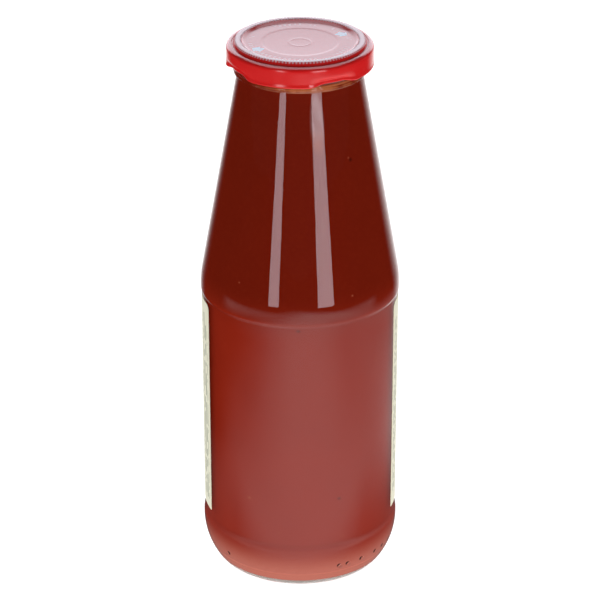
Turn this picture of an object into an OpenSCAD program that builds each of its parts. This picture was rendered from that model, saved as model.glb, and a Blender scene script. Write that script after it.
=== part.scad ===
// Passata bottle: a clear glass bottle with a long conical neck, filled with
// passata, shut with a lug lid and wrapped in a paper label round the back.
// Millimetres, +Z up. The origin is the centre of the base, on the surface the
// bottle stands on. The bare glass between the label's ends faces -Y.

/* [Glass body] */
// Height of the glass, from the ring it stands on to its rim
glass_h = 216; // [180:1:260]
// Diameter over the shoulder and over the bulge above the heel
body_d = 77; // [64:0.5:93]
// Thickness of the glass in the body and the neck
wall = 2.6; // [2:0.1:3.4]
// Thickness of the glass under the contents, next to the heel
base_t = 4.2; // [3:0.1:6]
// Thickness of the glass at the centre of the base
base_centre_t = 4.6; // [3.5:0.1:7]

/* [Heel and base] */
// Height of the widest point above the heel
heel_h = 16.6; // [13.5:0.1:20]
// Radius of the large curve of the heel
heel_r = 26; // [21:0.5:32]
// Radius of the small curve that runs into the base
foot_r = 5; // [4:0.1:6]
// Width of the flat ring that the bottle stands on
bearing_w = 1.4; // [1:0.1:2]
// Height of the hollow under the base, at its centre
punt_h = 3.6; // [2.5:0.1:5]
// Height of the steep edge of that hollow
punt_edge_h = 2; // [1:0.1:2.4]

/* [Label panel] */
// How far the label panel lies inside the shoulder and the heel bulge
panel_inset = 0.5; // [0.3:0.05:1]
// Height of the straight bulge between the heel and the panel
bulge_h = 2.9; // [2:0.1:5]
// Height of the slope from a bulge down to the panel
step_h = 1.8; // [1:0.1:3]

/* [Shoulder and neck] */
// Height of the widest point of the shoulder
shoulder_h = 117.4; // [95:0.5:145]
// Radius of the curve from the shoulder into the neck
shoulder_r = 45.4; // [30:0.5:55]
// How far the top of the neck lies inside the finish above it
neck_step = 1.1; // [0.8:0.1:2]

/* [Finish under the lid] */
// Outer diameter of the finish, without its ribs
finish_d = 49.4; // [41:0.2:60]
// Height of the finish, from the foot of its bead to the rim
finish_h = 10.7; // [9.5:0.1:14]
// How far the bead at the foot of the finish stands out
bead_t = 0.3; // [0.2:0.05:1]
// Height of the bead
bead_h = 1.8; // [1:0.1:2]
// How far the thread ribs stand out of the finish
rib_t = 1.6; // [1.2:0.1:2]
// Height of a thread rib
rib_h = 1.8; // [1.4:0.1:2.2]
// Angle that each thread rib covers
rib_arc = 60; // [40:1:80]
// Radius of the rim's two edges
rim_r = 1.2; // [0.8:0.1:1.4]

/* [Lid] */
// Height of the lid over all
lid_h = 9.3; // [8:0.1:11]
// Thickness of the lid's sheet metal
sheet = 0.4; // [0.25:0.05:0.6]
// Gap between the thread ribs and the inside of the skirt
skirt_gap = 1.1; // [0.6:0.1:1.6]
// Radius of the corner between the skirt and the top
corner_r = 1.6; // [1.2:0.1:1.8]
// Diameter of the rolled edge at the foot of the skirt
curl_d = 1; // [0.8:0.1:1.4]
// How far the outer rim lies below the raised ring
rim_drop = 1.35; // [0.9:0.05:1.8]
// How far the groove inside the rim lies below the rim
groove_h = 0.4; // [0.3:0.05:0.6]
// Width of the groove's flat floor
groove_w = 0.3; // [0.2:0.05:0.5]
// Clearance between the glass and the groove round it
groove_gap = 0.3; // [0.2:0.05:0.5]
// Width of the raised ring
ring_w = 2.3; // [1.6:0.1:3]
// Depth of the well inside the raised ring
well_h = 1.1; // [0.8:0.05:1.6]
// Width of the slope from the raised ring into the well
well_slope = 1.4; // [0.8:0.1:2]
// Diameter of the button in the middle of the well
button_d = 27.8; // [20:0.2:32]
// Height of the button above the floor of the well
button_h = 0.25; // [0.15:0.05:0.6]

/* [Lugs] */
// Number of lugs, and of thread ribs
lugs = 4; // [3:1:6]
// Angle that each lug covers
lug_arc = 30; // [20:1:36]
// Angle of the first lug, to the right of the front
lug_turn = 28; // [0:1:90]
// Height of the skirt's edge above its foot at a lug
lug_lift = 1; // [0.6:0.1:1.4]
// Thickness of a lug
lug_t = 1; // [0.6:0.1:1.2]
// Clearance between a lug and the finish
lug_gap = 0.3; // [0.2:0.05:0.6]

/* [Label] */
// Thickness of the label's paper
label_t = 0.15; // [0.1:0.01:0.25]
// Angle of the bare glass between the label's ends
label_open = 139; // [60:1:180]
// Angle by which the middle of the bare glass lies to the right of the front
label_turn = 2; // [-30:1:30]
// Gap between the label and the foot of its panel
label_foot_gap = 2.7; // [0.3:0.1:6]
// Gap between the label and the top of its panel
label_top_gap = 1.4; // [0.3:0.1:6]
// Radius of the label's two top corners
label_corner_r = 2.2; // [1:0.1:6]

/* [Contents] */
// Free height between the contents and the rim
headspace = 9; // [6:0.5:30]

/* [Hidden] */
$fn = 128;

FRONT = -90;        // direction of the front about +Z
CURVE_N = 14;       // straight pieces in each curve of the glass
EDGE_N = 5;         // straight pieces in each small rounded edge
OVER = 1;           // how far a cutting shape passes what it cuts
CORNER_IN = 0.95;   // how far in a corner's circle is centred, as a share of its radius

GLASS = [0.78, 0.85, 0.82, 0.35];
PASSATA = [0.48, 0.09, 0.05];
LID_RED = [0.78, 0.08, 0.08];
CREAM = [0.87, 0.85, 0.74];

body_r = body_d / 2;
panel_r = body_r - panel_inset;
panel_foot = heel_h + bulge_h + step_h;
panel_top = shoulder_h - step_h;

// The heel is two arcs that meet in a tangent, heel_turn below the horizontal.
heel_c = [body_r - heel_r, heel_h];
heel_turn = asin((heel_h - foot_r) / (heel_r - foot_r));
foot_c = heel_c + (heel_r - foot_r) * [cos(heel_turn), -sin(heel_turn)];
bearing_in = foot_c.x - bearing_w;

// The neck is a cone from the foot of the finish, tangent to the shoulder's arc.
finish_r = finish_d / 2;
finish_z = glass_h - finish_h;
neck_top = [finish_r - neck_step, finish_z];
shoulder_c = [body_r - shoulder_r, shoulder_h];
to_neck = neck_top - shoulder_c;
neck_turn = atan2(to_neck.y, to_neck.x) - acos(shoulder_r / norm(to_neck));
bore_r = neck_top.x - wall / cos(neck_turn);
fill_z = glass_h - headspace;

// The lid's underside lies on the rim of the glass.
lid_r = finish_r + rib_t + skirt_gap + sheet;
skirt_in = lid_r - sheet;
well_z = glass_h + sheet;
ring_z = well_z + well_h;
rim_z = ring_z - rim_drop;
groove_z = rim_z - groove_h;
lid_z = ring_z - lid_h;
groove_in = finish_r + groove_gap;
groove_mid = groove_in + sheet;
ring_out = finish_r - groove_gap;
ring_in = ring_out - ring_w;
lug_z = lid_z + lug_lift;
rib_z = lug_z + lug_t;

// Points along an arc, both ends included.
function arc(c, r, from, to, n) =
    [for (i = [0:n]) c + r * [cos(from + (to - from) * i / n), sin(from + (to - from) * i / n)]];

// Points along a shallow dome, from its edge to the axis.
function dome(r, z, rise) =
    [for (i = [0:CURVE_N]) [r * (1 - i / CURVE_N), z + rise * (1 - pow(1 - i / CURVE_N, 2))]];

// The outside of the body and the neck, from the base up, moved inwards by w.
function side(w) = concat(
    arc(foot_c, foot_r - w, -90, -heel_turn, CURVE_N),
    arc(heel_c, heel_r - w, -heel_turn, 0, CURVE_N),
    [[body_r - w, heel_h + bulge_h], [panel_r - w, panel_foot]],
    [[panel_r - w, panel_top]],
    arc(shoulder_c, shoulder_r - w, 0, neck_turn, CURVE_N),
    [neck_top - [w / cos(neck_turn), 0]]
);

// One half of the glass, seen as if it were solid.
module glass_outline() {
    bead_r = finish_r + bead_t;
    bead_edge = bead_h / 2;
    polygon(concat(
        [[0, 0]],
        side(0),
        arc([bead_r - bead_edge, finish_z + bead_edge], bead_edge, -90, 0, EDGE_N),
        [[bead_r, finish_z + bead_h - bead_t], [finish_r, finish_z + bead_h]],
        arc([finish_r - rim_r, glass_h - rim_r], rim_r, 0, 90, EDGE_N),
        [[0, glass_h]]
    ));
}

// One half of the hollow under the base: a short steep edge, then a low dome.
module punt_outline() {
    polygon(concat(
        [[0, -OVER], [bearing_in, -OVER], [bearing_in, 0]],
        dome(bearing_in - punt_edge_h, punt_edge_h, punt_h - punt_edge_h)
    ));
}

// One half of the space inside the glass, from its floor out over the rim.
module cavity_outline() {
    difference() {
        polygon(concat(
            [[0, 0]],
            side(wall),
            arc([bore_r + rim_r, glass_h - rim_r], rim_r, 180, 90, EDGE_N),
            [[bore_r + rim_r, glass_h + OVER], [0, glass_h + OVER]]
        ));
        polygon(concat([[0, -OVER], [body_r, -OVER], [body_r, base_t]],
                       dome(foot_c.x - wall, base_t, punt_h + base_centre_t - base_t)));
    }
}

// The level ribs of the thread: each one ends up above a lug of the lid.
module thread_ribs() {
    for (i = [0:lugs - 1])
        rotate([0, 0, FRONT + lug_turn + i * 360 / lugs - rib_arc / 2])
            rotate_extrude(angle = rib_arc)
                polygon([[finish_r - OVER, rib_z], [finish_r + rib_t, rib_z],
                         [finish_r + rib_t, rib_z + rib_h / 2],
                         [finish_r - OVER, rib_z + rib_h / 2 * (1 + (rib_t + OVER) / rib_t)]]);
}

module bottle() {
    color(GLASS) {
        rotate_extrude()
            difference() {
                glass_outline();
                punt_outline();
                cavity_outline();
            }
        thread_ribs();
    }
}

module passata() {
    color(PASSATA)
        rotate_extrude()
            intersection() {
                cavity_outline();
                square([body_r, fill_z]);
            }
}

// Half of the lid: the skirt, the rim, the groove, the raised ring, the well and
// the button. Sealing compound fills the ring from below, flush with the well.
module lid_outline() {
    edge = sheet / 2;
    polygon(concat(
        [[skirt_in, lid_z + curl_d / 2], [lid_r, lid_z + curl_d / 2]],
        arc([lid_r - corner_r, rim_z - corner_r], corner_r, 0, 90, CURVE_N),
        [[groove_mid + groove_w, groove_z], [groove_mid, groove_z]],
        [[ring_out + edge, ring_z - edge], [ring_out, ring_z]],
        [[ring_in, ring_z], [ring_in - well_slope, well_z]],
        [[button_d / 2 + button_h, well_z], [button_d / 2, well_z + button_h]],
        [[0, well_z + button_h], [0, glass_h], [groove_in, glass_h]],
        [[groove_in, groove_z - sheet], [lid_r - corner_r, groove_z - sheet]],
        [[skirt_in, rim_z - corner_r - sheet]]
    ));
    translate([lid_r - curl_d / 2, lid_z + curl_d / 2]) circle(curl_d / 2);
}

// The arc of one lug, centred on angle 0.
module lug_sector(r_in, r_out, z, h, arc_deg) {
    rotate([0, 0, -arc_deg / 2])
        rotate_extrude(angle = arc_deg)
            translate([r_in, z]) square([r_out - r_in, h]);
}

module lid() {
    color(LID_RED)
        difference() {
            union() {
                rotate_extrude() lid_outline();
                for (i = [0:lugs - 1])
                    rotate([0, 0, FRONT + lug_turn + i * 360 / lugs])
                        lug_sector(finish_r + lug_gap, skirt_in + sheet / 2, lug_z, lug_t, lug_arc);
            }
            for (i = [0:lugs - 1])
                rotate([0, 0, FRONT + lug_turn + i * 360 / lugs])
                    lug_sector(finish_r, lid_r + OVER, lid_z - OVER, lug_lift + OVER, lug_arc);
        }
}

// What rounding takes off one top corner of the label, drawn at the corner itself,
// with the label lying towards +X and +Y of it. The circle crosses the label's
// edges instead of touching them, so that no sliver is left there.
module corner_cut() {
    centre = label_corner_r * CORNER_IN;
    difference() {
        translate([-OVER, -OVER]) square(centre + OVER);
        translate([centre, centre]) circle(label_corner_r);
    }
}

module label() {
    foot = panel_foot + label_foot_gap;
    top = panel_top - label_top_gap;
    span = 360 - label_open;
    start = FRONT + label_turn + label_open / 2;
    color(CREAM)
        difference() {
            rotate([0, 0, start])
                rotate_extrude(angle = span)
                    translate([panel_r, foot]) square([label_t, top - foot]);
            for (end = [0, 1])
                rotate([0, 0, start + end * span])
                    mirror([0, end, 0])
                        translate([panel_r - OVER, 0, top])
                            mirror([0, 0, 1])
                                rotate([90, 0, 90])
                                    linear_extrude(label_t + 2 * OVER) corner_cut();
        }
}

bottle();
passata();
lid();
label();
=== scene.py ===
import math

import bpy
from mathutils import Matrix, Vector


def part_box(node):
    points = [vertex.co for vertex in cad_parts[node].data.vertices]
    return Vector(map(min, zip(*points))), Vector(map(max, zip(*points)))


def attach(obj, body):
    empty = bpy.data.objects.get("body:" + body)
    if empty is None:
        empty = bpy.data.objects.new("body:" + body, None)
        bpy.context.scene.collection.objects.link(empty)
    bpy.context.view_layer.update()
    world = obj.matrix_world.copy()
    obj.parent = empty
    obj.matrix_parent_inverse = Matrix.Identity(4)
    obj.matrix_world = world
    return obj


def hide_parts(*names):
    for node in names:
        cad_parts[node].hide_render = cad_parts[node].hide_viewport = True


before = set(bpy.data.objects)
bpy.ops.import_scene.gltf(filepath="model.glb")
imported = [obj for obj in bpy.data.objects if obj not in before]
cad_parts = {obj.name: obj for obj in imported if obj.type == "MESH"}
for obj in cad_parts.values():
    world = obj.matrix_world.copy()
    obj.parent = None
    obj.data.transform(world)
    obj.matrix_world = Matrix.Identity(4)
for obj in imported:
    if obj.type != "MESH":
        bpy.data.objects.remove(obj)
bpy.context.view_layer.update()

# A clear glass bottle of passata with a red lug lid and a paper label round its
# back. The pieces are turned round the bottle's axis, which is +Z. The front
# faces -Y, and angles round the axis are degrees to the right of the front.

# ---- Sizes, in millimetres ----------------------------------------------------

MM = 0.001


def corners(node):
    """A CAD node's lowest and highest corner."""
    low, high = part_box(node)
    return low / MM, high / MM


glass_high = corners("bottle")[1]
lid_low, lid_high = corners("lid")
label_low, label_high = corners("label")
fill_z = corners("passata")[1].z

# Glass: the body is a cylinder with a label panel between two slight bulges.
glass_h = glass_high.z
body_r = glass_high.x
wall = 2.6
panel_inset = 0.5
panel_r = body_r - panel_inset
heel_z = 16.6
panel_foot_z = 21.3
panel_top_z = 115.6
shoulder_z = 117.4
shoulder_curve_r = 45.4

# The heel is a large arc that runs into a small one at the base.
heel_curve_r = 26
foot_curve_r = 5
heel_centre = (body_r - heel_curve_r, heel_z)
heel_turn = math.degrees(math.asin((heel_z - foot_curve_r) / (heel_curve_r - foot_curve_r)))
foot_centre = (
    heel_centre[0] + (heel_curve_r - foot_curve_r) * math.cos(math.radians(heel_turn)),
    foot_curve_r,
)

# The ring it stands on, the hollow base, and the floor of the glass under the contents,
# which bends up into the wall over a small height.
bearing_w = 1.4
bearing_in = foot_centre[0] - bearing_w
stipple_h = 0.35
punt_edge_z = 3
punt_z = 4.4
floor_z = 5.7
floor_rise = 3
floor_bend_h = 1.3

# Marks of the mould: small dots round the heel, at these angles, a faint seam on two
# sides, and slight waves all over.
heel_dots = (-50.5, 25, 31, 41.5, 54, 62.5, 72)
heel_dot_z = 9.7
heel_dot_r = 0.75
heel_dot_h = 0.5
heel_dot_at_r = 35
seam_turn = -12
seam_h = 0.012
wave_h = 0.03

# The neck is a cone, tangent to the shoulder's arc, up to the finish.
finish_r = 24.7
finish_z = 205.3
bead_t = 0.3
bead_h = 1.8
rim_edge_r = 1.2
neck_top = (23.6, finish_z)
shoulder_centre = (body_r - shoulder_curve_r, shoulder_z)
to_neck = Vector(neck_top) - Vector(shoulder_centre)
neck_turn = math.degrees(
    math.atan2(to_neck.y, to_neck.x) - math.acos(shoulder_curve_r / to_neck.length)
)

# Threads, and the lugs of the lid that hold under them: a lug is flat over some degrees
# and fades out over some more on each side.
lug_turn = 28
lug_flat = 14
lug_fade = 15
lug_h = 3.6
lug_lift = 1
lug_in = 1.25
rib_t = 1.6
rib_h = 1.8
rib_arc = 60
rib_z = lid_low.z + lug_lift + 1

# Lid, from the curl at its foot to the small raised eye in the middle of its button. The
# skirt has rings of points at some levels, so that its lugs can bend.
lid_r = lid_high.x
skirt_t = 0.4
skirt_levels = (1.7, 2.4, 3.2, 4.2)
curl_r = 0.5
lid_corner_r = 1.6
rim_z = lid_high.z - 1.35
groove_z = rim_z - 0.4
groove_out = 25.75
groove_in = 25.1
ring_z = lid_high.z
ring_out = 24.4
ring_in = 22.1
well_z = lid_high.z - 1.1
well_r = 20.7
button_r = 13.9
button_z = well_z - 0.12
eye_r = 4
eye_w = 0.75
eye_h = 0.07

# The ring's knurling: teeth at its edges, and rows of dimples that a painted sheen makes paler.
teeth = 120
tooth_t = 0.32
dimple_rows = [ring_out - 0.55 - 0.3 * row for row in range(5)]
dimple_h = 0.04
sheen_pitch = 0.55

# Marks in the well: a row of dashes, and an arrow with its twin across from it.
dash_row_r = 18.6
arrow_place = (15.7, 7.9)
arrow_turn = -30

# Label: paper on the panel, with the bare glass between its ends at the front. From its
# middle it reaches label_end each way, and the last side_w of that are its side faces.
label_r = label_high.y
label_open = 139
label_turn = 2
label_corner_r = 2.2
label_end = math.radians(360 - label_open) / 2 * label_r
glue_t = 0.01
side_w = 27
print_margin = 1.3

# Contents: how far they reach into the wall, how far they creep up it at their edge, and
# the streak of them that dried on the neck, painted pale at its top as a painted highlight.
fill_reach = 0.3
creep_h = 0.3
streak_turn = 14.5
streak_at_r = 25.8
streak_z = 193
streak_h = 11
streak_w = 2.44

# Specks of skin and small bubbles in the contents: angle, height, radius, and 1 if pale.
# They are drawn at a middling radius of the wall.
speck_at_r = 28.65
specks = (
    (43.5, 177, 0.7, 0), (41.5, 178, 0.35, 1), (18.5, 161, 0.4, 1), (-1, 114.2, 0.6, 0),
    (-32.5, 39, 0.5, 1), (-13, 25.8, 0.4, 1), (27, 23, 0.35, 1), (24.5, 40, 0.6, 0),
    (-20, 86, 0.3, 1), (52, 95, 0.35, 1), (-40, 130, 0.3, 1), (33, 126, 0.35, 1),
    (130, 150, 0.5, 0), (-110, 165, 0.4, 1), (175, 140, 0.4, 1), (-150, 128, 0.5, 0),
)

# The camera's place, and how far it looks down.
camera_place = (0, -959.1, 575.07)
camera_down = 25.888

# How many times each outline is repeated round the axis.
GLASS_STEPS = 384
LID_STEPS = 4 * teeth


# ---- Outlines: points (radius, height) ----------------------------------------

def arc(centre, radius, start, end, count):
    """Points along an arc, with both its ends."""
    turns = [math.radians(start + (end - start) * i / count) for i in range(count + 1)]
    return [(centre[0] + radius * math.cos(a), centre[1] + radius * math.sin(a)) for a in turns]


def straight(start, end, count):
    """Points along a line, without its ends."""
    return [
        (start[0] + (end[0] - start[0]) * i / count, start[1] + (end[1] - start[1]) * i / count)
        for i in range(1, count)
    ]


def swayed(start, end, count):
    """Points along a soft S-bend that starts and ends upright, with both its ends."""
    points = []
    for i in range(count + 1):
        share = i / count
        sway = (1 - math.cos(math.pi * share)) / 2
        points.append((start[0] + (end[0] - start[0]) * sway, start[1] + (end[1] - start[1]) * share))
    return points


def rounded(corner_list, count=5):
    """An outline through corners (radius, height, size), each rounded off over its size."""
    points = [corner_list[0][:2]]
    for before, here, after in zip(corner_list, corner_list[1:], corner_list[2:]):
        corner = Vector(here[:2])
        if not here[2]:
            points.append(tuple(corner))
            continue
        start = corner + (Vector(before[:2]) - corner).normalized() * here[2]
        end = corner + (Vector(after[:2]) - corner).normalized() * here[2]
        for i in range(count + 1):
            share = i / count
            bent = start.lerp(corner, share).lerp(corner.lerp(end, share), share)
            points.append(tuple(bent))
    return points + [corner_list[-1][:2]]


def side(inset):
    """The outside of the body and the neck, from the foot up, moved inwards."""
    bulge_r = body_r - inset
    waist_r = panel_r - inset
    neck_r = neck_top[0] - inset / math.cos(math.radians(neck_turn))
    shoulder = arc(shoulder_centre, shoulder_curve_r - inset, 0, neck_turn, 14)
    return (
        arc(foot_centre, foot_curve_r - inset, -90, -heel_turn, 12)
        + arc(heel_centre, heel_curve_r - inset, -heel_turn, 0, 26)[1:]
        + swayed((bulge_r, heel_z + 1), (waist_r, panel_foot_z), 8)
        + straight((waist_r, panel_foot_z), (waist_r, panel_top_z), 14)
        + swayed((waist_r, panel_top_z), (bulge_r, shoulder_z), 8)
        + shoulder[1:]
        + straight(shoulder[-1], (neck_r, finish_z), 14)
        + [(neck_r, finish_z)]
    )


def dome(radius, height, rise, count):
    """A shallow dome, from its edge to the axis."""
    return [
        (radius * (1 - i / count), height + rise * (1 - (1 - i / count) ** 2))
        for i in range(count + 1)
    ]


def inside(inset):
    """The inside of the glass from the axis up, for a wall that is inset thick."""
    bottom = dome(foot_centre[0] - wall, floor_z + inset - wall, floor_rise, 8)[::-1]
    return bottom + [point for point in side(inset) if point[1] > floor_z + floor_bend_h]


# ---- Modelling ----------------------------------------------------------------

def turned(name, outline, steps, start=90, span=360):
    """A piece: an outline drawn point by point at an angle, and turned round the axis."""
    bpy.ops.object.select_all(action="DESELECT")
    bpy.ops.mesh.primitive_plane_add(size=MM, location=(0, 0, 0))
    piece = bpy.context.object
    piece.name = piece.data.name = name
    bpy.ops.object.mode_set(mode="EDIT")
    bpy.ops.mesh.select_all(action="SELECT")
    bpy.ops.mesh.merge(type="CENTER")
    outward = Vector((math.sin(math.radians(start)), -math.cos(math.radians(start)), 0))
    upward = Vector((0, 0, 1))
    place = outward * outline[0][0] + upward * outline[0][1]
    bpy.ops.transform.translate(value=place * MM)
    for radius, height in outline[1:]:
        step = outward * radius + upward * height - place
        bpy.ops.mesh.extrude_vertices_move(TRANSFORM_OT_translate={"value": step * MM})
        place += step
    bpy.ops.object.mode_set(mode="OBJECT")
    turn = piece.modifiers.new("turn", "SCREW")
    turn.angle = math.radians(span)
    turn.steps = turn.render_steps = steps
    bpy.ops.object.modifier_apply(modifier=turn.name)
    bpy.ops.object.mode_set(mode="EDIT")
    bpy.ops.mesh.select_all(action="SELECT")
    bpy.ops.mesh.remove_doubles(threshold=MM / 1000)
    bpy.ops.mesh.normals_make_consistent(inside=False)
    bpy.ops.object.mode_set(mode="OBJECT")
    return piece


def shaped(piece, kind, settings, weight):
    """Applies a modifier by a weight(radius, angle, height) for each vertex, from 0 to 1."""
    group = piece.vertex_groups.new(name="shaped")
    for vertex in piece.data.vertices:
        x, y, z = vertex.co / MM
        share = weight(math.hypot(x, y), math.degrees(math.atan2(x, -y)), z)
        if share > 0:
            group.add([vertex.index], min(share, 1), "REPLACE")
    modifier = piece.modifiers.new("shaped", kind)
    modifier.vertex_group = group.name
    for setting, value in settings.items():
        setattr(modifier, setting, value)
    bpy.context.view_layer.objects.active = piece
    bpy.ops.object.modifier_apply(modifier=modifier.name)
    piece.vertex_groups.clear()


def raised(piece, height, weight, direction="NORMAL"):
    """Moves the surface out by a height, or along an axis."""
    settings = {"strength": height * MM, "mid_level": 0, "direction": direction}
    shaped(piece, "DISPLACE", settings, weight)


def drawn_in(piece, share, weight):
    """Moves the surface towards the axis by a share of its radius."""
    settings = {
        "cast_type": "CYLINDER",
        "factor": share,
        "size": MM / 1000,
        "use_radius_as_size": False,
        "use_z": False,
    }
    shaped(piece, "CAST", settings, weight)


def thickened(piece, thickness):
    """Gives an open sheet its thickness, outwards."""
    modifier = piece.modifiers.new("thickness", "SOLIDIFY")
    modifier.thickness = thickness * MM
    modifier.offset = 1
    bpy.context.view_layer.objects.active = piece
    bpy.ops.object.modifier_apply(modifier=modifier.name)


def hump(value, centre, reach):
    """1 at the centre, falling smoothly to 0 at the reach."""
    share = min(abs(value - centre) / reach, 1)
    return (1 + math.cos(math.pi * share)) / 2


def plateau(value, low, high, soft):
    """1 between low and high, falling smoothly to 0 over a soft edge outside them."""
    return hump(max(low - value, value - high, 0), 0, soft)


def turn_between(angle, centre):
    """How far an angle lies from another one, from -180 to 180."""
    return (angle - centre + 180) % 360 - 180


def finished(piece, node, material, smooth_angle=30):
    """Gives a piece its material and puts it into the frame in a node's stead."""
    piece.data.materials.clear()
    piece.data.materials.append(material)
    bpy.ops.object.select_all(action="DESELECT")
    piece.select_set(True)
    bpy.context.view_layer.objects.active = piece
    bpy.ops.object.shade_smooth_by_angle(angle=math.radians(smooth_angle))
    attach(piece, "root")
    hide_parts(node)


# ---- Materials ----------------------------------------------------------------

class Socket:
    """A node's output. Arithmetic on it adds Math nodes."""

    def __init__(self, finish, out):
        self.finish = finish
        self.out = out

    def math(self, operation, *others, swapped=False):
        """A Math node on this output and others, in this order or swapped."""
        values = [self, *others][:: -1 if swapped else 1]
        return self.finish.node("Math", {"operation": operation}, dict(enumerate(values)))

    def __add__(self, other):
        return self.math("ADD", other)

    def __sub__(self, other):
        return self.math("SUBTRACT", other)

    def __rsub__(self, other):
        return self.math("SUBTRACT", other, swapped=True)

    def __mul__(self, other):
        return self.math("MULTIPLY", other)

    def __truediv__(self, other):
        return self.math("DIVIDE", other)

    def __neg__(self):
        return self * -1

    def __gt__(self, other):
        return self.math("GREATER_THAN", other)

    def __lt__(self, other):
        return self.math("LESS_THAN", other)

    __radd__ = __add__
    __rmul__ = __mul__


class Finish:
    """A material, built node by node."""

    def __init__(self, name):
        self.material = bpy.data.materials.new(name)
        self.material.use_nodes = True
        self.tree = self.material.node_tree
        self.tree.nodes.clear()
        self.place = self.node("TexCoord", output="Object")

    def node(self, kind, settings=None, inputs=None, output=0):
        """Adds any node: its settings first, then the values and links of its sockets."""
        node = self.tree.nodes.new("ShaderNode" + kind)
        for name, value in (settings or {}).items():
            setattr(node, name, value)
        for name, value in (inputs or {}).items():
            if isinstance(value, Socket):
                self.tree.links.new(value.out, node.inputs[name])
            else:
                node.inputs[name].default_value = value
        return Socket(self, node.outputs[output])

    def noise(self, size, detail=2, roughness=0.5, stretch=(1, 1, 1)):
        """A soft noise from 0 to 1 with lumps of about a size in millimetres."""
        scale = Vector(stretch) / (size * MM)
        place = self.node("Mapping", None, {"Vector": self.place, "Scale": scale})
        inputs = {"Vector": place, "Scale": 1, "Detail": detail, "Roughness": roughness}
        return self.node("TexNoise", None, inputs)

    def coordinates(self):
        """The x, y and z of a place on the object, in millimetres."""
        split = self.node("SeparateXYZ", None, {0: self.place})
        outs = split.out.node.outputs
        return [Socket(self, out) / MM for out in outs]

    def turn(self, x, y):
        """The angle round the axis, in degrees to the right of the front."""
        return x.math("ARCTAN2", -y) * (180 / math.pi)

    def disc(self, across, up, radius, soft=0.1):
        """1 inside a circle round the zero of two distances, 0 outside it."""
        distance = (across * across + up * up).math("SQRT")
        return 1 - self.step(distance, radius - soft, radius + soft)

    def box(self, across, up, left, right, low, high):
        """1 inside a rectangle, 0 outside it."""
        return (across > left) * (across < right) * (up > low) * (up < high)

    def mix(self, share, first, second):
        """A colour between two colours."""
        inputs = {0: share, 6: colour(first), 7: colour(second)}
        return self.node("Mix", {"data_type": "RGBA"}, inputs, output=2)

    def step(self, value, low, high):
        """0 below low, 1 above high and a smooth rise between them."""
        settings = {"interpolation_type": "SMOOTHSTEP"}
        return self.node("MapRange", settings, {"Value": value, "From Min": low, "From Max": high})

    def bump(self, height, depth):
        """Normals for a relief that is depth millimetres deep."""
        return self.node("Bump", None, {"Height": height, "Distance": depth * MM, "Strength": 1})

    def surface(self, settings):
        """Gives the material its Principled shader, and returns the material."""
        shader = self.node("BsdfPrincipled", None, settings)
        self.node_output(shader)
        return self.material

    def node_output(self, shader):
        """Makes a shader the material's surface."""
        out = self.tree.nodes.new("ShaderNodeOutputMaterial")
        self.tree.links.new(shader.out, out.inputs["Surface"])


def colour(value):
    """A colour socket's value, or the link itself."""
    return value if isinstance(value, Socket) else (*value, 1)


def round_axis(turn, middle, radius):
    """The way round the axis from one angle to another, in millimetres at a radius."""
    return (turn - middle) * math.radians(radius)


def glass_finish():
    """Clear flint glass with the slight waves of a blown wall and the marks of the mould,
    duller and greyer at its stippled foot."""
    glass = Finish("glass")
    x, y, z = glass.coordinates()
    turn = glass.turn(x, y)
    relief = glass.noise(9, detail=1, stretch=(1, 1, 0.45)) * wave_h
    from_seam = (turn - seam_turn + 180).math("WRAP", 90, -90).math("ABSOLUTE")
    relief += (1 - glass.step(from_seam, 0.2, 0.7)) * (z < finish_z) * seam_h
    for dot_turn in heel_dots:
        across = round_axis(turn, dot_turn, heel_dot_at_r)
        relief += glass.disc(across, z - heel_dot_z, heel_dot_r, 0.5) * heel_dot_h
    stippled = 1 - glass.step(z, 2.4, 3.6)
    return glass.surface({
        "Base Color": glass.mix(stippled, (0.95, 0.985, 0.965), (0.84, 0.90, 0.86)),
        "Roughness": 0.015 + stippled * 0.3,
        "IOR": 1.5,
        "Transmission Weight": 1,
        "Normal": glass.bump(relief, 1),
    })


def passata_finish():
    """Tomato pulp, brick red with fine mottling. It is darker in the neck with painted shade,
    and paler at the heel with painted light from the bright floor below. It has no gloss of
    its own, because it lies against the glass."""
    pulp = Finish("passata")
    x, y, z = pulp.coordinates()
    turn = pulp.turn(x, y)
    cloudy = pulp.noise(14, detail=3)
    grainy = pulp.noise(1.6, detail=3, roughness=0.7)
    body = pulp.mix(cloudy, (0.250, 0.0170, 0.0066), (0.285, 0.0205, 0.0080))
    neck = pulp.mix(cloudy, (0.157, 0.0100, 0.0034), (0.174, 0.0118, 0.0039))
    # Painted shade: the pulp is darker in the neck, where its surface tilts up, away from the light
    # below.
    base = pulp.mix(pulp.step(z, 108, 128), body, neck)
    # Painted light: the pulp is paler at the heel, as if lit by the bright floor below.
    base = pulp.mix(pulp.step(z, 19, 7), base, (0.44, 0.125, 0.090))
    base = pulp.mix(pulp.step(grainy, 0.4, 0.8) * 0.12, base, (0.30, 0.028, 0.009))
    base = dried_streak_and_painted_glow(pulp, base, turn, z)
    base = spotted(pulp, base, turn, z)
    return pulp.surface({
        "Base Color": base,
        "Roughness": 0.6,
        "Specular IOR Level": 0,
    })


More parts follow.
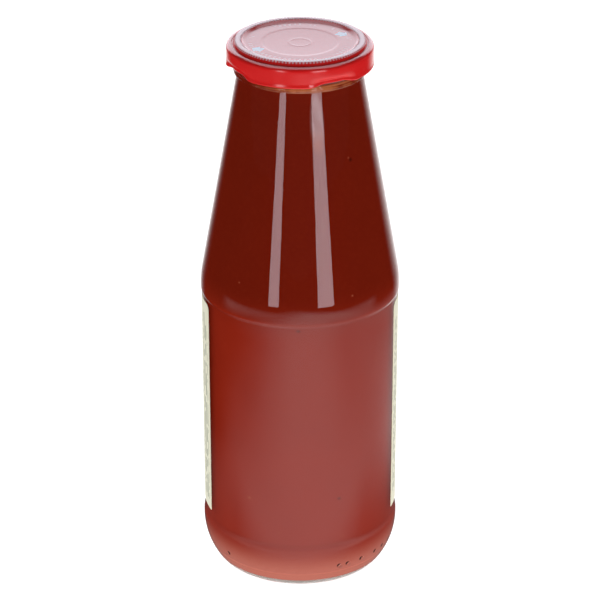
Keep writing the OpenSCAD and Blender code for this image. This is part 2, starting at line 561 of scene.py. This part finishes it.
def dried_streak_and_painted_glow(pulp, base, turn, z):
    """A streak of pulp dried on the glass, painted pale at its top as a painted highlight where
    the right light strip reflects; and a painted orange-brown glow along the pulp's top edge
    behind the lid's skirt, at the front.
    """
    streaky = pulp.noise(3, detail=3, stretch=(1, 1, 0.5))
    # Painted glow: the pulp's top edge behind the lid's skirt is painted a lighter orange-brown, at the
    # front.
    painted_glow = pulp.step(z + streaky * 1.5, fill_z - 1.6, fill_z - 0.8)
    facing = pulp.step((turn - 12).math("ABSOLUTE"), 70, 20)
    base = pulp.mix(painted_glow * facing, base, (0.46, 0.14, 0.05))
    across = round_axis(turn, streak_turn, streak_at_r) * (streak_h / streak_w) - streaky * 2
    # Painted highlight: the dried streak lies where the right light strip reflects on the neck, and is
    # painted pale at its top.
    streak_and_highlight = pulp.disc(across, z - streak_z, streak_h, 4) * pulp.step(streaky, 0.3, 0.6)
    dried = pulp.mix(pulp.step(z, streak_z - 9, streak_z), (0.42, 0.11, 0.04), (0.44, 0.30, 0.30))
    return pulp.mix(streak_and_highlight * 0.5, base, dried)


def spotted(pulp, base, turn, z):
    """Specks and bubbles in the pulp, and the shade that the heel's dots throw on it."""
    for speck_turn, speck_z, speck_r, pale in specks:
        across = round_axis(turn, speck_turn, speck_at_r)
        tint = (0.42, 0.10, 0.05) if pale else (0.03, 0.004, 0.002)
        base = pulp.mix(pulp.disc(across, z - speck_z, speck_r, 0.15) * 0.6, base, tint)
    for dot_turn in heel_dots:
        across = round_axis(turn, dot_turn, heel_dot_at_r - wall)
        spot = pulp.disc(across, z - heel_dot_z, heel_dot_r + 0.05, 0.15)
        base = pulp.mix(spot * 0.95, base, (0.02, 0.003, 0.002))
    return base


def lid_finish():
    """Red lacquer on tinplate, painted pale on the knurled ring as a painted sheen, paler in
    staggered rows of spots and broken by red along its toothed outer edge. It has a faint row
    of dashes in the well and two pale arrows that show which way the lid turns."""
    lacquer = Finish("lid")
    x, y, z = lacquer.coordinates()
    turn = lacquer.turn(x, y)
    radius = (x * x + y * y).math("SQRT")
    # Painted sheen: the knurled ring is painted pale for the light its knurl scatters, paler in rows of
    # spots and red in a toothed pattern at its outer edge.
    toothed = (turn * math.radians(teeth)).math("COSINE")
    in_rows = ((radius - ring_in) * (math.pi / sheen_pitch)).math("COSINE")
    on_ring = lacquer.step(radius, ring_in - 0.2, ring_in + 0.1) * (z > ring_z - 0.6)
    sheen_and_dashes = on_ring * (0.5 + lacquer.step(toothed * in_rows, -0.4, 0.6) * 0.2)
    at_teeth = lacquer.step(radius, ring_out - 0.5, ring_out - 0.2)
    sheen_and_dashes = sheen_and_dashes * (1 - at_teeth * lacquer.step(toothed, 0.3, -0.3) * 0.9)
    dashed = lacquer.step((turn * math.radians(teeth / 2)).math("COSINE"), -0.2, 0.5)
    in_well = lacquer.step((radius - dash_row_r).math("ABSOLUTE"), 0.9, 0.6) * (z < well_z + 0.2)
    sheen_and_dashes += in_well * dashed * lacquer.step(lacquer.noise(7), 0.45, 0.6) * 0.2
    base = lacquer.mix(sheen_and_dashes, (0.74, 0.011, 0.011), (0.88, 0.70, 0.78))
    base = lacquer.mix(arrow_mask(x, y, z), base, (0.56, 0.72, 0.95))
    peel = lacquer.noise(0.9, detail=2)
    return lacquer.surface({
        "Base Color": base,
        "Roughness": 0.2,
        "IOR": 1.5,
        "Coat Weight": 0.3,
        "Coat Roughness": 0.08,
        "Normal": lacquer.bump(peel, 0.004),
    })


def arrow_mask(x, y, z):
    """Two fat arrows on the well's floor, each the other one turned half round."""
    along = math.radians(arrow_turn)
    arrows = []
    for sign in (1, -1):
        off_x = x * sign - arrow_place[0]
        off_y = y * sign - arrow_place[1]
        run = off_x * math.cos(along) + off_y * math.sin(along)
        across = (off_y * math.cos(along) - off_x * math.sin(along)).math("ABSOLUTE")
        shaft = (run > -2.1) * (run < 0.4) * (across < 1.7)
        head = (run > 0.2) * (across < (2.3 - run) * 1.3)
        arrows.append(shaft.math("MAXIMUM", head))
    return arrows[0].math("MAXIMUM", arrows[1]) * (z < well_z + 0.3) * (z > well_z - 0.3)


def label_finish():
    """Cream paper, printed. Distances go to the right of the label's middle and up, in mm."""
    paper = Finish("label")
    x, y, z = paper.coordinates()
    across = (-x).math("ARCTAN2", y) * label_r - math.radians(label_turn) * label_r
    fibres = paper.noise(0.7, detail=3)
    base = paper.mix(fibres, (0.75, 0.735, 0.55), (0.81, 0.795, 0.61))
    edge = label_end - side_w
    on_side = paper.step(across.math("ABSOLUTE"), edge - 0.5, edge)
    reach = label_end - print_margin
    printed = paper.box(across, z, -reach, reach, label_low.z + 1, label_high.z - 1)
    base = paper.mix(on_side * printed * 0.5, base, (0.68, 0.69, 0.57))
    base = main_face(paper, base, across, z, 1 - on_side)
    base = side_faces(paper, base, across, z)
    return paper.surface({
        "Base Color": base,
        "Roughness": 0.7,
        "Specular IOR Level": 0.3,
        "Normal": paper.bump(fibres, 0.02),
    })


def main_face(paper, base, across, z, middle):
    """The middle of the label: green bands with gold lines, a red and a cream banner, and
    two tomatoes with leaves."""
    green = (0.035, 0.115, 0.030)
    red = (0.55, 0.018, 0.012)
    gold = (0.70, 0.42, 0.06)
    cream = (0.80, 0.76, 0.60)
    top_band_z = label_high.z - 17
    foot_band_z = label_low.z + 11
    line_h = 1
    base = paper.mix(middle * (z > top_band_z), base, green)
    base = paper.mix(middle * (z < foot_band_z), base, green)
    for low in (top_band_z - 2 * line_h, foot_band_z + line_h):
        base = paper.mix(middle * (z > low) * (z < low + line_h), base, gold)
    base = paper.mix(banner(paper, across, z - (foot_band_z + 11), 31, 6), base, red)
    base = paper.mix(banner(paper, across, z - (foot_band_z + 11), 24, 1.4), base, cream)
    base = paper.mix(banner(paper, across, z - (top_band_z + 8), 27, 2.6), base, cream)
    base = leaf(paper, base, across - 21, z - 62, 35)
    base = leaf(paper, base, across + 25, z - 57, 140)
    base = tomato(paper, base, across - 12, z - 64, 11)
    return tomato(paper, base, across + 6, z - 67, 16)


def side_faces(paper, base, across, z):
    """The label's two ends: a column of upright print by each edge, and beside it blocks
    of level print above and below a ruled table. The print is plain dashes."""
    ink = (0.14, 0.17, 0.11)
    right, left = label_end, -label_end
    column = paper.box(across, z, right - 8, right - 1.8, label_low.z + 4, label_high.z - 5)
    base = paper.mix(small_print(paper, z, across, column, 2.1, 1.6) * 0.75, base, ink)
    column = paper.box(across, z, left + 1.8, left + 6.5, label_low.z + 6, label_high.z - 8)
    base = paper.mix(small_print(paper, z, across, column, 1.6, 1.3) * 0.7, base, ink)
    for start, end, low, high in (
        (right - 25, right - 10, 84, 108), (right - 25, right - 10, 30, 52),
        (left + 9, left + 25, 88, 108), (left + 9, left + 25, 28, 40),
    ):
        block = paper.box(across, z, start, end, low, high)
        base = paper.mix(small_print(paper, across, z, block, 1.9, 1.5) * 0.75, base, ink)
    base = ruled_table(paper, base, across - (right - 17.5), z - 68, 7.5, 13, ink)
    return ruled_table(paper, base, across - (left + 17), z - 64, 8, 20, ink)


def banner(finish, across, up, half_w, half_h):
    """A bar with round ends."""
    past = (across.math("ABSOLUTE") - (half_w - half_h)).math("MAXIMUM", 0)
    return finish.disc(past, up, half_h)


def leaf(finish, base, across, up, turn):
    """A pointed leaf with a pale midrib, 15 mm long, at a turn."""
    turn = math.radians(turn)
    run = across * math.cos(turn) + up * math.sin(turn)
    off = up * math.cos(turn) - across * math.sin(turn)
    blade = finish.disc(run, off - 5, 9.2) * finish.disc(run, off + 5, 9.2)
    base = finish.mix(blade, base, (0.06, 0.22, 0.03))
    return finish.mix(blade * (off.math("ABSOLUTE") < 0.25), base, (0.35, 0.52, 0.20))


def tomato(finish, base, across, up, radius):
    """A round tomato with a highlight and a green star of sepals."""
    body = finish.disc(across, up * 1.12, radius)
    shade = finish.step((across * across + up * up).math("SQRT"), radius * 0.5, radius)
    skin = finish.mix(shade, (0.66, 0.030, 0.014), (0.36, 0.010, 0.008))
    base = finish.mix(body, base, skin)
    shine = finish.disc((across + radius * 0.4) * 0.8, up - radius * 0.35, radius * 0.16, radius * 0.1)
    base = finish.mix(shine * 0.7, base, (0.90, 0.55, 0.45))
    rise = up - radius * 0.78
    star_turn = rise.math("ARCTAN2", across) * 5
    reach = (star_turn.math("COSINE") * 0.22 + 0.3) * radius
    distance = (across * across + rise * rise * 3).math("SQRT")
    return finish.mix(distance < reach, base, (0.05, 0.20, 0.03))


def small_print(finish, along, up, field, pitch, word):
    """Rows of plain dashes inside a field: the pitch of the rows, and a dash's length."""
    row = (up / pitch).math("FLOOR")
    place = finish.node("CombineXYZ", None, {0: (along / word).math("FLOOR"), 1: row})
    written = finish.node("TexWhiteNoise", None, {"Vector": place}) > 0.3
    return field * written * ((up / pitch).math("FRACT") < 0.45)


def ruled_table(finish, base, across, up, half_w, half_h, ink):
    """A small table: a thin border and rules, with short dashes in every row."""
    inside_w = across.math("ABSOLUTE")
    inside_h = up.math("ABSOLUTE")
    field = (inside_w < half_w) * (inside_h < half_h)
    border = field * (1 - (inside_w < half_w - 0.3) * (inside_h < half_h - 0.3))
    rules = field * ((up / 3).math("FRACT") < 0.08)
    dashes = small_print(finish, across, up, (inside_w < half_w - 1) * (inside_h < half_h - 0.5), 3, 2.4)
    marks = border.math("MAXIMUM", rules).math("MAXIMUM", dashes * 0.8)
    return finish.mix(marks * 0.8, base, ink)


# ---- Pieces -------------------------------------------------------------------

def bottle_outline():
    """The glass from under its base, up the outside, over the rim and down the inside."""
    bead_r = finish_r + bead_t
    bore_r = neck_top[0] - wall / math.cos(math.radians(neck_turn))
    base = rounded([
        (bearing_in, punt_edge_z, 0),
        (bearing_in, stipple_h, 0.3),
        (foot_centre[0], stipple_h, 0),
    ])
    bearing = straight((bearing_in, stipple_h), (foot_centre[0], stipple_h), 4)
    finish = rounded([
        (neck_top[0], finish_z, 0),
        (bead_r, finish_z, 0.6),
        (bead_r, finish_z + bead_h - 0.2, 0.4),
        (finish_r, finish_z + bead_h, 0.2),
        (finish_r, rib_z - 0.1, 0),
        (finish_r, rib_z, 0),
        (finish_r, rib_z + rib_h / 2, 0),
        (finish_r, rib_z + rib_h, 0),
        (finish_r, glass_h - rim_edge_r, 0),
    ], count=4)[1:-1]
    rim = arc((finish_r - rim_edge_r, glass_h - rim_edge_r), rim_edge_r, 0, 90, 5)
    lip = arc((bore_r + rim_edge_r, glass_h - rim_edge_r), rim_edge_r, 90, 180, 5)
    under = dome(bearing_in, punt_edge_z, punt_z - punt_edge_z, 8)[::-1] + base[1:-1] + bearing[1:]
    return under + side(0)[1:] + finish + rim + lip + inside(wall)[::-1]


def make_bottle():
    """The glass: one closed shell, with the stippled ring it stands on and its threads."""
    piece = turned("glass_bottle", bottle_outline(), GLASS_STEPS)
    column = 360 / GLASS_STEPS

    def stipple(r, a, z):
        """1 at every other column of points on the bearing ring, 0 at its edges."""
        across = plateau(r, bearing_in + 0.4, foot_centre[0] - 0.2, 0.2)
        return (round(a / column) % 2) * (z < stipple_h * 1.01) * across

    def rib(r, a, z):
        """1 on the four thread ribs."""
        on_arc = abs(turn_between(a, lug_turn) % 90 - 45) > 45 - rib_arc / 2
        return on_arc and abs(r - finish_r) < 0.1 and rib_z - 0.05 < z < rib_z + rib_h - 0.05

    raised(piece, -stipple_h, stipple, "Z")
    raised(piece, rib_t, rib)
    finished(piece, "bottle", glass_finish())
    # Clear glass lets the light through to the contents.
    piece.visible_shadow = False
    piece.visible_diffuse = False


def make_passata():
    """The contents: they reach a little way into the wall, so that no gap shows."""
    outline = [point for point in inside(wall - fill_reach) if point[1] < fill_z]
    edge_r = outline[-1][0]
    creep_r = edge_r - fill_reach
    outline += [
        (edge_r, fill_z - creep_h - 0.1),
        (creep_r, fill_z - 0.05),
        (creep_r - 2, fill_z - creep_h),
        (0, fill_z - creep_h),
    ]
    piece = turned("passata_fill", outline, GLASS_STEPS // 2)
    finished(piece, "passata", passata_finish())


def lid_outline():
    """The lid from the middle of its underside, out round the curl, and back over the top."""
    skirt_r = lid_r - 0.2
    inner_r = lid_r - skirt_t - 0.2
    curl_centre = (lid_r - curl_r, lid_low.z + curl_r)
    under = rounded([
        (0, glass_h, 0),
        (finish_r + 0.3, glass_h, 0.2),
        (finish_r + 0.3, groove_z - skirt_t, 0.15),
        (lid_r - lid_corner_r, groove_z - skirt_t, 0.3),
        (inner_r, rim_z - lid_corner_r - skirt_t, 0.3),
        *[(inner_r, lid_low.z + level, 0) for level in reversed(skirt_levels)],
        (curl_centre[0] - 0.1, lid_low.z + 2 * curl_r, 0),
    ])
    curl = arc(curl_centre, curl_r, 120, 378, 12)
    skirt = [(skirt_r, lid_low.z + level) for level in (1.15, *skirt_levels, 5.4)]
    corner = arc((skirt_r - lid_corner_r, rim_z - lid_corner_r), lid_corner_r, 0, 90, 12)
    top = rounded([
        (skirt_r - lid_corner_r, rim_z, 0),
        (groove_out, rim_z, 0.15),
        (groove_out - 0.3, groove_z, 0.1),
        (groove_in, groove_z, 0.25),
        (ring_out + 0.25, ring_z - 0.7, 0),
        (ring_out, ring_z, 0.35),
        *[(row_r, ring_z, 0) for row_r in dimple_rows],
        (ring_in, ring_z, 0.35),
        (ring_in - 0.5, ring_z - 0.5, 0),
        (well_r, well_z, 0.6),
        (well_r - 3, well_z, 0),
        (button_r + 0.8, well_z, 0.4),
        (button_r, button_z, 0.3),
        (button_r - 2, button_z - 0.04, 0),
        (button_r - 5, button_z - 0.09, 0),
        (eye_r + 2.4, button_z - 0.12, 0),
        *[(eye_r + 0.9 - 0.3 * step, button_z - 0.13, 0) for step in range(7)],
        (0, button_z - 0.14, 0),
    ])
    return under + curl + skirt + corner + top[1:]


def knurl(piece):
    """Cuts the teeth at both edges of the lid's ring, and the dimples between them."""
    column = 360 / LID_STEPS

    def gap(r, a, z):
        """1 at the ring's two edges in the gaps between the teeth."""
        at_out = hump(math.hypot(r - ring_out, z - ring_z), 0, 0.6)
        at_in = hump(math.hypot(r - ring_in, z - ring_z), 0, 0.6)
        return max(math.cos(math.radians(a * teeth)), 0) * (at_out + at_in)

    def dimple(r, a, z):
        """1 in the dimples of the ring's top, whose rows are staggered."""
        for row, row_r in enumerate(dimple_rows):
            if abs(r - row_r) < 0.02 and z > ring_z - 0.01:
                return (round(a / column) + 2 * row) % 4 == 0
        return 0

    raised(piece, -tooth_t, gap)
    raised(piece, -dimple_h, dimple, "Z")


def bend_lugs(piece):
    """Bends the lid's foot in and up at its four lugs."""

    def lug(r, a, z, inner_r, fade_h):
        """1 over the middle of a lug, falling softly to 0 past its ends and its top."""
        off_middle = abs((a - lug_turn + 45) % 90 - 45)
        rise = plateau(z, 0, lid_low.z + lug_h - fade_h, fade_h)
        return (r > inner_r) * plateau(off_middle, 0, lug_flat / 2, lug_fade) * rise

    drawn_in(piece, lug_in / lid_r, lambda r, a, z: lug(r, a, z, finish_r + 0.9, 2.2))
    raised(piece, lug_lift, lambda r, a, z: lug(r, a, z, finish_r - 0.5, 2.6), "Z")


def make_lid():
    """The lid: one closed shell, with its ring knurled and its lugs bent in."""
    piece = turned("lug_lid", lid_outline(), LID_STEPS)
    knurl(piece)
    raised(piece, eye_h, lambda r, a, z: (z > well_z - 0.5) * hump(r, eye_r, eye_w), "Z")
    bend_lugs(piece)
    finished(piece, "lid", lid_finish(), smooth_angle=50)


def make_label():
    """The label: a strip of paper round the panel, with its two top corners rounded."""
    foot, top = label_low.z, label_high.z
    span = 360 - label_open
    strip = [(panel_r + glue_t, foot + (top - foot) * i / 30) for i in range(31)]
    piece = turned("paper_label", strip, 2 * span, label_open / 2 + label_turn, span)

    def drop(r, a, z):
        """How far a corner's arc lowers a point, as a share of its radius."""
        off_end = span / 2 - abs(turn_between(a, 180 + label_turn))
        inward = max(1 - math.radians(off_end) * label_r / label_corner_r, 0)
        return (1 - math.sqrt(max(1 - inward ** 2, 0))) * (z - foot) / (top - foot)

    raised(piece, -label_corner_r, drop, "Z")
    thickened(piece, label_r - panel_r - glue_t)
    finished(piece, "label", label_finish())


# ---- Scene --------------------------------------------------------------------

def area_light(name, turn, distance, size, tint, radiance, reflected=True):
    """An upright soft panel that faces the axis at an angle round it, sized in metres."""
    width, height = size
    data = bpy.data.lights.new(name, "AREA")
    data.shape = "RECTANGLE"
    data.size = width
    data.size_y = height
    data.color = tint
    data.energy = radiance * math.pi * width * height
    light = bpy.data.objects.new(name, data)
    turn = math.radians(turn)
    light.location = (distance * math.sin(turn), -distance * math.cos(turn), height / 2)
    light.rotation_euler = (math.radians(90), 0, turn)
    light.visible_camera = False
    light.visible_glossy = reflected
    bpy.context.collection.objects.link(light)
    return light


def make_lights():
    """Two upright strips in front, light for dull surfaces on the back and the sides, a
    panel that leans in high behind, and one overhead that only shows as gloss."""
    rosy = (1, 0.86, 0.90)
    plain = (1, 1, 1)
    cool = (0.97, 1, 1.1)
    area_light("strip_left", -29.5, 0.85, (0.164, 0.45), rosy, 4.9)
    area_light("strip_right", 28.5, 0.85, (0.27, 0.45), rosy, 5.2)
    area_light("back_left", -130, 1.1, (0.8, 0.4), plain, 4.5, reflected=False)
    area_light("back_right", 130, 1.1, (0.8, 0.4), plain, 4.5, reflected=False)
    leaning = area_light("back_panel", 180, 1.3, (2.2, 1.1), cool, 2.45)
    leaning.location.z = 0.62
    leaning.rotation_euler.x = math.radians(65)
    overhead = area_light("top_panel", 180, 0.25, (1.4, 1.2), cool, 2.3)
    overhead.location.z = 1.2
    overhead.rotation_euler = (0, 0, 0)
    overhead.visible_diffuse = False
    area_light("fill_left", -75, 1.0, (0.5, 0.4), plain, 1.4, reflected=False)
    area_light("fill_right", 75, 1.0, (0.5, 0.4), plain, 1.0, reflected=False)


def shining(glow, radiance):
    """Makes a material give off light, by a number or by what its nodes work out."""
    glow.node_output(glow.node("Emission", None, {"Color": (1, 1, 1, 1), "Strength": radiance}))
    return glow.material


def pool_radiance(glow):
    """A broad light pool to the right, a brighter one in front with a ring beyond it, the
    bottle's own shade on the floor beside it, and the bright far end."""
    x, y, z = glow.coordinates()
    from_axis = (x * x + y * y).math("SQRT") + 1
    in_front = 1 - glow.step(y, -60, 40)
    broad = round_pool(glow, x, y / 1.8, 110, -110, 120, 290)
    near = round_pool(glow, x, y / 2.2, -20, -125, 90, 250) * in_front
    ring = glow.step(from_axis, 250, 400) * (1 - glow.step(from_axis, 420, 560))
    near += ring * in_front * (1 - near) * 0.9
    beside = glow.step(y, -80, -30) * (1 - glow.step(from_axis, 60, 150))
    far_end = glow.step(y / from_axis, 0.58, 1.0) * glow.step(x / from_axis, -0.8, -0.2)
    return (broad * 0.75 + near * 0.58) * (1 - beside * 0.85) + far_end * 1.35


def round_pool(glow, x, y, middle_x, middle_y, inner, outer):
    """1 within the inner radius round a middle, falling smoothly to 0 at the outer one."""
    off_x = x - middle_x
    off_y = y - middle_y
    return 1 - glow.step((off_x * off_x + off_y * off_y).math("SQRT"), inner, outer)


def make_floor():
    """A plain pale floor, with a painted shadow that makes it darker right under the glass.
    Below it lie a light pool that only gloss shows, and a patch that gives dull surfaces their
    light from below."""
    floor = plane("floor", 12, -0.5)
    paint = Finish("floor")
    x, y, z = paint.coordinates()
    # Painted shadow: a dark disc on the floor right under the bottle's foot.
    shade_r = foot_centre[0] + 0.5
    shade = round_pool(paint, x, y, 0, 3, shade_r, shade_r + 2)
    floor.data.materials.append(paint.surface({
        "Base Color": paint.mix(shade, (0.3, 0.3, 0.3), (0.1, 0.1, 0.1)),
        "Roughness": 0.9,
        "Emission Color": paint.mix(shade, (1, 1, 1), (0.28, 0.26, 0.24)),
        "Emission Strength": 1,
    }))
    floor.visible_glossy = False
    floor.visible_diffuse = False
    pool = plane("light_pool", 3, -1)
    glow = Finish("light_pool")
    pool.data.materials.append(shining(glow, pool_radiance(glow)))
    pool.visible_diffuse = False
    bounce = plane("bounce", 1.2, -1)
    bounce.data.materials.append(shining(Finish("bounce"), 1.4))
    bounce.visible_glossy = False
    for patch in (pool, bounce):
        patch.visible_camera = False
        patch.visible_transmission = False
        patch.visible_shadow = False


def plane(name, size, height):
    """A level square: its side in metres, and its height in millimetres."""
    bpy.ops.object.select_all(action="DESELECT")
    bpy.ops.mesh.primitive_plane_add(size=size, location=(0, 0, height * MM))
    bpy.context.object.name = name
    return bpy.context.object


def make_world():
    """Plain light all round for dull surfaces, less for reflections, and white behind."""
    world = bpy.data.worlds.new("world")
    bpy.context.scene.world = world
    world.use_nodes = True
    tree = world.node_tree
    ray = tree.nodes.new("ShaderNodeLightPath")
    level = tree.nodes.new("ShaderNodeMix")
    tree.links.new(ray.outputs["Is Glossy Ray"], level.inputs["Factor"])
    level.inputs["A"].default_value = 0.1
    level.inputs["B"].default_value = 0.02
    shown = tree.nodes.new("ShaderNodeMix")
    tree.links.new(ray.outputs["Is Camera Ray"], shown.inputs["Factor"])
    tree.links.new(level.outputs["Result"], shown.inputs["A"])
    shown.inputs["B"].default_value = 1
    background = tree.nodes["Background"]
    tree.links.new(shown.outputs["Result"], background.inputs["Strength"])
    background.inputs["Color"].default_value = (1, 1, 1, 1)


def make_camera():
    """A long lens about a metre away, looking down on the front of the bottle."""
    data = bpy.data.cameras.new("camera")
    data.lens = 164.5
    data.sensor_width = 36
    camera = bpy.data.objects.new("camera", data)
    camera.location = Vector(camera_place) * MM
    camera.rotation_euler = (math.radians(90 - camera_down), 0, 0)
    bpy.context.collection.objects.link(camera)
    bpy.context.scene.camera = camera
    bpy.context.scene.view_settings.view_transform = "Standard"


make_bottle()
make_passata()
make_lid()
make_label()
make_floor()
make_lights()
make_world()
make_camera()
